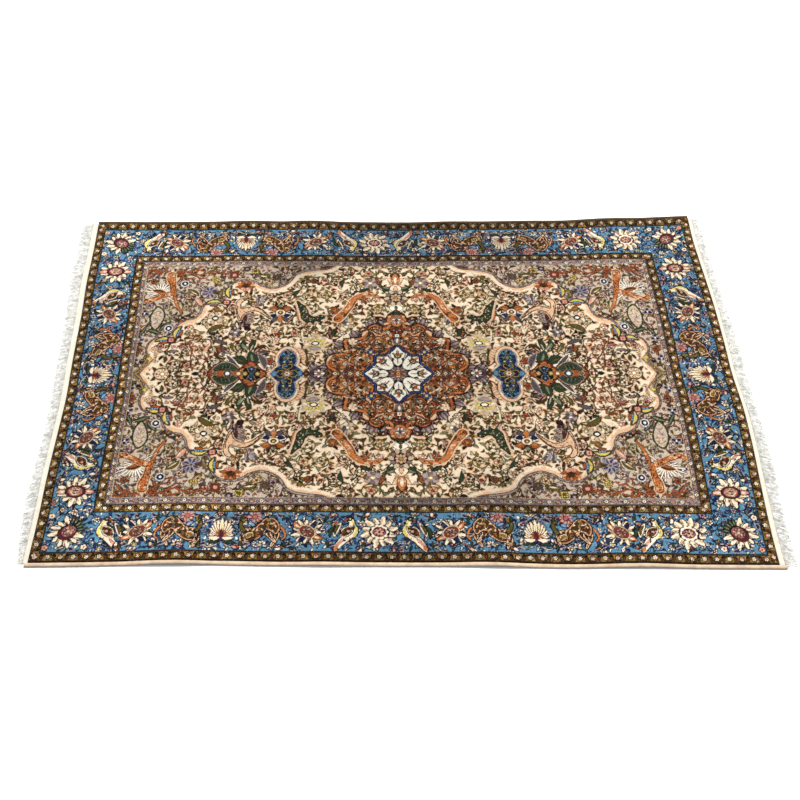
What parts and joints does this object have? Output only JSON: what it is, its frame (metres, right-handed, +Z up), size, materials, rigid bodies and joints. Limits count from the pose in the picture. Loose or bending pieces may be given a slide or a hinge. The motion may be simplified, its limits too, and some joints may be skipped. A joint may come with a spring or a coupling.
{
  "type": "pile rug",
  "caption": "Rectangular hand-knotted pile rug with a floral medallion design, woven end strips, overcast side cords and a cotton fringe at each end, lying flat.",
  "frame": {"origin": "middle of the rug's footprint, on the floor", "axes": "+X along the rug towards its right end, +Y across it towards its back edge, +Z up out of the pile"},
  "size_m": [2.212, 1.4638, 0.0164],
  "materials": {
    "pile_wool": "cut wool pile in blue, rust, cream and olive",
    "kilim_cotton": "plain weave, cream cotton",
    "fringe_cotton": "loose off-white cotton warps",
    "cord_wool": "beige overcast yarn"
  },
  "bodies": {
    "root": {"pile": "pile_wool", "kilim_left": "kilim_cotton", "kilim_right": "kilim_cotton", "fringe_left": "fringe_cotton", "fringe_right": "fringe_cotton", "selvedge_front": "cord_wool", "selvedge_back": "cord_wool"}
  },
  "joints": []
}
